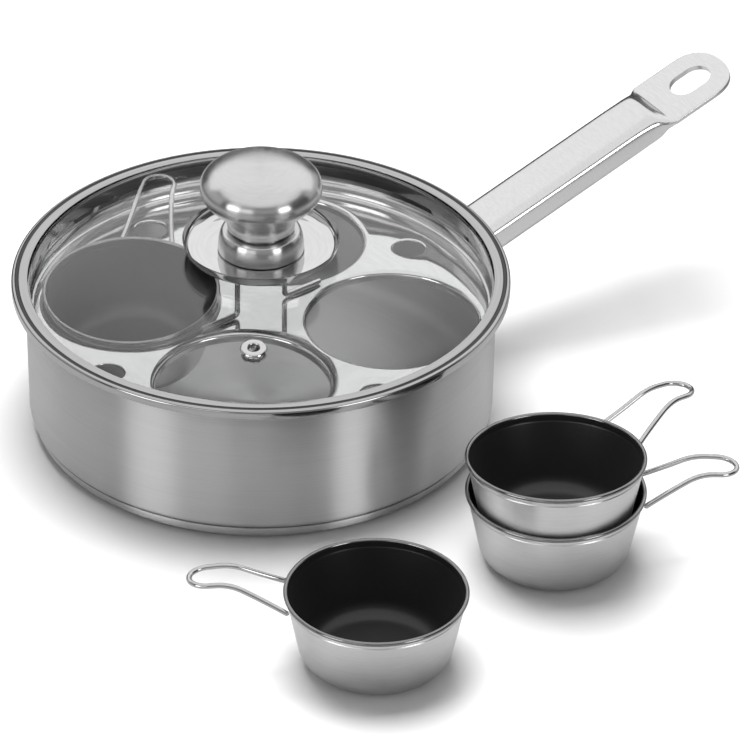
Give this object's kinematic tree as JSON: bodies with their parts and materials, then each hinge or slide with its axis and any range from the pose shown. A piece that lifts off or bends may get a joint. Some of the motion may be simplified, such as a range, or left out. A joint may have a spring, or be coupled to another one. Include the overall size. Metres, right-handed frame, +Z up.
{
  "type": "egg poacher pan",
  "caption": "Clad steel pan with a hollow handle, perforated tray with lift arch, wire-gripped poaching cups and a banded glass lid with a mushroom knob.",
  "frame": {"origin": "centre of the pan's base, on the surface it stands on", "axes": "+Z up along the pan's axis, -Y towards the picture's viewer, the pan's handle towards +X and +Y"},
  "size_m": [0.314, 0.3534, 0.1252],
  "materials": {
    "bright_steel": "polished stainless steel",
    "brushed_steel": "satin stainless steel, brushed round the wall",
    "mirror_steel": "mirror polished stainless steel",
    "cup_steel": "satin outside, black non-stick lining inside",
    "wire_steel": "bright drawn wire",
    "core_aluminium": "plain",
    "clear_glass": "clear, polished",
    "grey_rubber": "matte silicone"
  },
  "bodies": {
    "pan": {"pan_shell": "brushed_steel", "base_core": "core_aluminium", "base_cover": "brushed_steel", "handle_bracket": "brushed_steel", "pan_handle": "bright_steel"},
    "tray": {"tray_plate": "mirror_steel", "lift_arch": "wire_steel"},
    "cup_a": {"cup_a_shell": "cup_steel", "cup_a_handle": "wire_steel"},
    "cup_b": {"cup_b_shell": "cup_steel", "cup_b_handle": "wire_steel"},
    "cup_c": {"cup_c_shell": "cup_steel", "cup_c_handle": "wire_steel"},
    "cup_d": {"cup_d_shell": "cup_steel", "cup_d_handle": "wire_steel"},
    "lid": {"lid_glass": "clear_glass", "lid_band": "bright_steel", "vent_eyelet": "bright_steel", "knob_dish": "mirror_steel", "knob_collar": "bright_steel", "knob_head": "bright_steel", "knob_screw": "wire_steel", "knob_washer": "wire_steel", "gasket_lower": "grey_rubber", "gasket_upper": "grey_rubber"}
  },
  "joints": [
    {"name": "tray_lift", "type": "slide", "parent": "pan", "child": "tray", "axis": [0, 0, 1], "range_m": [0, 0.12]},
    {"name": "cup_a_lift", "type": "slide", "parent": "tray", "child": "cup_a", "axis": [0, 0, 1], "range_m": [0, 0.08]},
    {"name": "lid_lift", "type": "slide", "parent": "cup_a", "child": "lid", "axis": [0, 0, 1], "range_m": [0, 0.12]},
    {"name": "cup_b_lift", "type": "slide", "parent": "pan", "child": "cup_b", "axis": [0, 0, 1], "range_m": [0, 0.08]},
    {"name": "cup_c_lift", "type": "slide", "parent": "pan", "child": "cup_c", "axis": [0, 0, 1], "range_m": [0, 0.08]},
    {"name": "cup_d_lift", "type": "slide", "parent": "cup_c", "child": "cup_d", "axis": [0, 0, 1], "range_m": [0, 0.08]}
  ]
}
